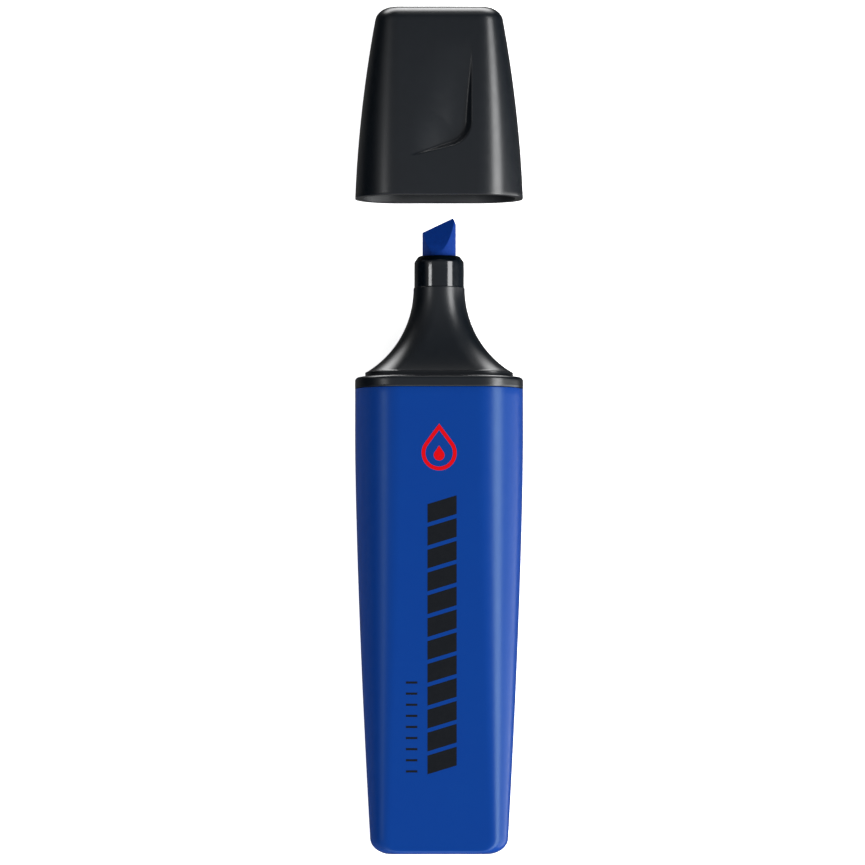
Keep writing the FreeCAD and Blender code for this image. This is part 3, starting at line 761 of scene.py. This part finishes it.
def make_floor():
    """A pale card under the pen, lit from within so that it stays white."""
    shader = Shader("floor_card", Roughness=0.9)
    speckle = shader.noise(40.0, detail=2.0).outputs["Fac"]
    colour = shader.mix(speckle, (0.90, 0.90, 0.90, 1), (0.93, 0.93, 0.93, 1))
    shader.surface.inputs["Emission Color"].default_value = (1, 1, 1, 1)
    shader.surface.inputs["Emission Strength"].default_value = 0.75
    corners = [(-1, -1), (1, -1), (1, 1), (-1, 1)]
    vertices = [Vector((x * FLOOR_HALF, y * FLOOR_HALF, 0)) for x, y in corners]
    floor = mesh_object("floor", vertices, [(0, 1, 2, 3)])
    floor.data.materials.append(shader.finish(colour))
    shader.material.cycles.emission_sampling = "NONE"
    floor.location.z = -FLOOR_GAP
    floor.visible_glossy = False


def place_light(name, direction, distance, shift_y, size, radiance):
    """A soft box square on to `direction`, its second side lying along the pen."""
    lamp = bpy.data.lights.new(name, "AREA")
    lamp.shape = "RECTANGLE"
    lamp.size, lamp.size_y = size
    lamp.energy = radiance * math.pi * size[0] * size[1]
    light = bpy.data.objects.new(name, lamp)
    bpy.context.scene.collection.objects.link(light)
    across_pen = abs(direction.y) < 0.5
    along = Vector((0, 1, 0)) if across_pen else Vector((0, direction.z, -direction.y))
    across = along.cross(direction)
    light.matrix_world = Matrix((across, along, direction)).transposed().to_4x4()
    light.location = CENTRE + direction * distance + Vector((0, shift_y, 0))
    light.visible_camera = False
    return light


def strip(name, across, low_y, high_y, radiance):
    """A box along the pen, seen between two angles from overhead (negative is left)."""
    middle = math.radians(sum(across) / 2)
    width = 2 * LIGHT_REACH * math.tan(math.radians(across[1] - across[0]) / 2)
    direction = Vector((math.sin(middle), 0, math.cos(middle)))
    size = (width, high_y - low_y)
    return place_light(name, direction, LIGHT_REACH, (low_y + high_y) / 2, size, radiance)


def end_card(name, angles, width, radiance):
    """A card beyond an end, seen between two angles from overhead (positive: the cap's end)."""
    middle = math.radians(sum(angles) / 2)
    height = 2 * LIGHT_REACH * math.tan(math.radians(abs(angles[1] - angles[0])) / 2)
    direction = Vector((0, math.sin(middle), math.cos(middle)))
    return place_light(name, direction, LIGHT_REACH, 0, (width, height), radiance)


class World:
    """Studio walls as a brightness over direction, built from smooth steps."""

    def __init__(self):
        self.world = bpy.data.worlds.new("studio")
        bpy.context.scene.world = self.world
        self.world.use_nodes = True
        self.tree = self.world.node_tree
        place = self.tree.nodes.new("ShaderNodeTexCoord").outputs["Generated"]
        split = self.tree.nodes.new("ShaderNodeSeparateXYZ")
        self.tree.links.new(place, split.inputs[0])
        self.across, self.along, self.up = split.outputs

    def step(self, value, start, end, low, high):
        """Eases from low to high while a direction's share runs from start to end."""
        node = self.tree.nodes.new("ShaderNodeMapRange")
        node.interpolation_type = "SMOOTHSTEP"
        self.tree.links.new(value, node.inputs["Value"])
        settings = (("From Min", start), ("From Max", end), ("To Min", low), ("To Max", high))
        for socket, number in settings:
            node.inputs[socket].default_value = number
        return node.outputs["Result"]

    def join(self, operation, first, second):
        """Two brightnesses multiplied or added."""
        node = self.tree.nodes.new("ShaderNodeMath")
        node.operation = operation
        self.tree.links.new(first, node.inputs[0])
        self.tree.links.new(second, node.inputs[1])
        return node.outputs["Value"]

    def finish(self, strength):
        background = self.tree.nodes["Background"]
        background.inputs["Color"].default_value = (1, 1, 1, 1)
        self.tree.links.new(strength, background.inputs["Strength"])


def make_world():
    """Black drape on the left, a dimmer right wall, grey below the horizon.

    The ceiling is brightest just past the middle and dim towards the cap. Beyond the cap a
    pale sweep near the horizon, which fades to the right, lights the cap's top edge, and a
    window from the middle to the right lights the foot of the cone.
    """
    room = World()
    drape = room.step(room.across, -0.97, -0.80, 0.03, 1.0)
    right = room.step(room.across, 0.80, 0.97, 1.0, 0.45)
    foot = room.step(room.along, 0.05, 0.15, 0.42, 0.54)
    head = room.step(room.along, 0.18, 0.38, 1.0, 0.36)
    below = room.step(room.up, -0.30, -0.05, 0.25, 1.0)
    walls = room.join("MULTIPLY", room.join("MULTIPLY", drape, right), foot)
    walls = room.join("MULTIPLY", walls, room.join("MULTIPLY", head, below))
    sweep = room.join(
        "MULTIPLY", room.step(room.along, 0.66, 0.86, 0.0, 8.0),
        room.step(room.up, -0.24, 0.20, 1.0, 0.0),
    )
    sweep = room.join("MULTIPLY", sweep, room.step(room.across, 0.30, 0.60, 1.0, 0.15))
    window = room.join(
        "MULTIPLY", room.step(room.along, 0.68, 0.98, 0.0, 0.9),
        room.step(room.across, -0.16, -0.04, 0.0, 1.0),
    )
    room.finish(room.join("ADD", room.join("ADD", walls, window), sweep))


make_floor()
make_world()
strip("key_box", (41, 63), -1.0, 0.46, 11.0)
strip("right_wall", (68, 125), -1.0, 0.06, 3.7)
strip("nib_box", (-49, -35), 0.088, 0.143, 17.0)
end_card("foot_box", (-85, -38), 1.6, 2.5)

PITCH = 3.4
DISTANCE = 1.18
AIM = Vector((-1.04 * MM, -0.32 * MM, AXIS_Z * MM))
FRAME_WIDTH = 0.1364

camera_data = bpy.data.cameras.new("camera")
camera_data.sensor_width = 36.0
camera_data.lens = camera_data.sensor_width * DISTANCE / FRAME_WIDTH
camera = bpy.data.objects.new("camera", camera_data)
bpy.context.scene.collection.objects.link(camera)
pitch = math.radians(PITCH)
camera.location = AIM + Vector((0, -math.sin(pitch), math.cos(pitch))) * DISTANCE
camera.rotation_euler = (pitch, 0, 0)
camera_data.clip_start, camera_data.clip_end = 0.05, 20.0
bpy.context.scene.camera = camera
bpy.context.scene.view_settings.view_transform = "Standard"
